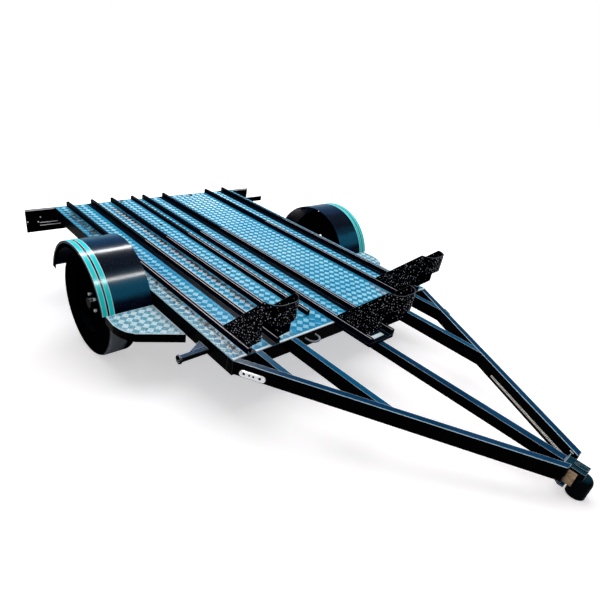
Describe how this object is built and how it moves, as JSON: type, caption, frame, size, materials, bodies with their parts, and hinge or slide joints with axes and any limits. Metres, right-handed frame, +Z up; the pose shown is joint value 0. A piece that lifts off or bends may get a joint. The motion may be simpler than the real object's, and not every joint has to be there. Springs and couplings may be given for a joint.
{
  "type": "motorcycle trailer",
  "caption": "Low single-axle trailer with a chequered deck, three wheel channels with tyre chocks, a stored loading ramp, mudguards and a triangular drawbar with a ball coupling.",
  "frame": {"origin": "on the ground, in the middle of the trailer's footprint, with the wheels and the coupling resting on the ground", "axes": "+X towards the coupling, +Y to the trailer's left, +Z up"},
  "size_m": [3.3252, 2.154, 0.6509],
  "materials": {
    "frame_paint": "gloss black",
    "rail_paint": "gloss black",
    "chequer_plate": "embossed plate",
    "black_chequer": "gloss black over embossed plate",
    "guard_paint": "gloss black with blue sheen",
    "tyre": "matt rubber",
    "rim_paint": "satin black",
    "hub_steel": "cast",
    "red_lens": "moulded lens",
    "white_lens": "moulded lens",
    "bright_steel": "plated",
    "dark_steel": "satin"
  },
  "bodies": {
    "chassis": {"side_beam_right": "frame_paint", "side_beam_left": "frame_paint", "front_crossbeam": "frame_paint", "rear_crossbeam": "frame_paint", "cross_members": "frame_paint", "beam_caps": "frame_paint", "deck_plate": "chequer_plate", "drawbar_right": "frame_paint", "drawbar_left": "frame_paint", "braces_right": "frame_paint", "braces_left": "frame_paint", "centre_beam": "frame_paint", "nose_bracket": "frame_paint", "coupler_body": "dark_steel", "coupler_lever": "dark_steel", "rails_right": "rail_paint", "rails_centre": "rail_paint", "rails_left": "rail_paint", "centre_tray": "frame_paint", "ramp_rails": "rail_paint", "ramp_tread": "chequer_plate", "chock_right": "black_chequer", "chock_centre": "black_chequer", "chock_left": "black_chequer", "mudguard_right": "guard_paint", "mudguard_left": "guard_paint", "side_step_right": "chequer_plate", "side_step_left": "chequer_plate", "axle_beam": "frame_paint", "leaf_springs": "dark_steel", "spring_hangers": "frame_paint", "lamp_brackets": "frame_paint", "tail_lamps": "red_lens", "plate_holder": "frame_paint", "marker_lamps": "white_lens", "tie_bars": "frame_paint", "front_eye": "bright_steel"},
    "wheel_right": {"tyre_right": "tyre", "rim_right": "rim_paint", "hub_right": "hub_steel"},
    "wheel_left": {"tyre_left": "tyre", "rim_left": "rim_paint", "hub_left": "hub_steel"}
  },
  "joints": [
    {"name": "wheel_right_spin", "type": "hinge", "parent": "chassis", "child": "wheel_right", "pos_m": [-0.59323, -0.96, 0.297], "axis": [0, 1, 0], "continuous": true},
    {"name": "wheel_left_spin", "type": "hinge", "parent": "chassis", "child": "wheel_left", "pos_m": [-0.59323, 0.854, 0.297], "axis": [0, 1, 0], "continuous": true}
  ]
}
